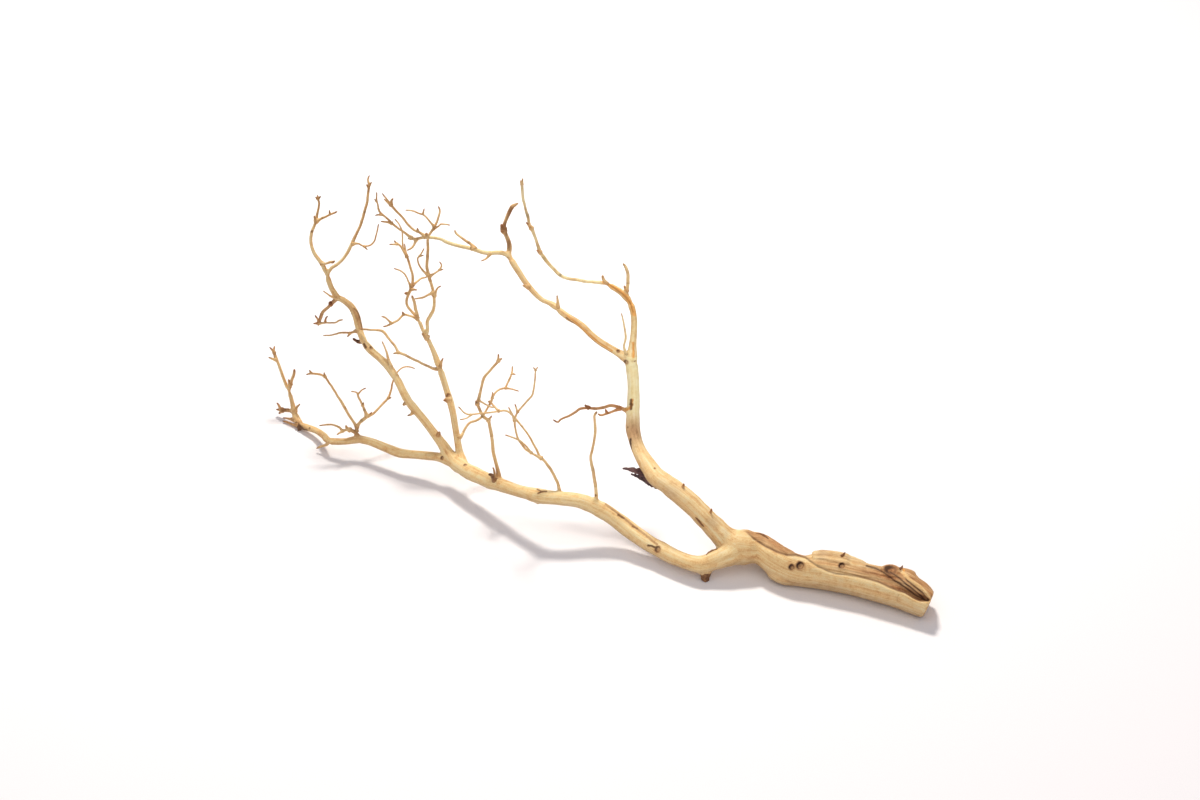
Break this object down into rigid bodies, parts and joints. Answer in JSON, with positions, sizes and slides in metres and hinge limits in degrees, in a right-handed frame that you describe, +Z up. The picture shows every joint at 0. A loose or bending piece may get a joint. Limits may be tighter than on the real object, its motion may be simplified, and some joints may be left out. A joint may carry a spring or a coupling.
{
  "type": "driftwood branch",
  "caption": "Bare sand-blasted manzanita branch with a saw-cut stem that forks into two limbs and many fine twigs, made to lie on a table.",
  "frame": {"origin": "middle of the branch's footprint on the table that it lies on", "axes": "+X to the right along the branch's length, towards the saw cut; +Y away from the viewer; +Z up"},
  "size_m": [0.75, 0.4321, 0.3608],
  "materials": {
    "trunk": "dry sand-blasted sapwood with brown heartwood in the old split",
    "right_limb": "dry sand-blasted wood, greyish tan",
    "left_limb": "dry sand-blasted wood",
    "low_left_branch": "dry sand-blasted wood",
    "tall_left_branch": "dry sand-blasted wood",
    "tall_left_hook": "dry sand-blasted wood",
    "tall_right_wand": "dry sand-blasted wood",
    "inner_branch": "dry sand-blasted wood",
    "inner_right_wand": "dry sand-blasted wood",
    "inner_left_wand": "dry sand-blasted wood",
    "right_top_branch": "dry sand-blasted wood, orange in one old groove",
    "crossing_branch": "dry sand-blasted wood",
    "crossing_wand": "dry sand-blasted wood",
    "straight_twig": "dry sand-blasted wood",
    "short_spray": "dry sand-blasted wood",
    "leaning_twig": "dry sand-blasted wood",
    "leaning_fork": "dry sand-blasted wood",
    "long_straw": "dry sand-blasted wood",
    "lone_sprig": "dry sand-blasted wood",
    "inner_straw": "dry sand-blasted wood",
    "base_whip": "dry sand-blasted wood",
    "dark_twig": "dry brown wood with dark knots"
  },
  "bodies": {
    "root": {"trunk": "trunk", "right_limb": "right_limb", "left_limb": "left_limb", "low_left_branch": "low_left_branch", "tall_left_branch": "tall_left_branch", "tall_left_hook": "tall_left_hook", "tall_right_wand": "tall_right_wand", "inner_branch": "inner_branch", "inner_right_wand": "inner_right_wand", "inner_left_wand": "inner_left_wand", "right_top_branch": "right_top_branch", "crossing_branch": "crossing_branch", "crossing_wand": "crossing_wand", "straight_twig": "straight_twig", "short_spray": "short_spray", "leaning_twig": "leaning_twig", "leaning_fork": "leaning_fork", "long_straw": "long_straw", "lone_sprig": "lone_sprig", "inner_straw": "inner_straw", "base_whip": "base_whip", "dark_twig": "dark_twig"}
  },
  "joints": []
}
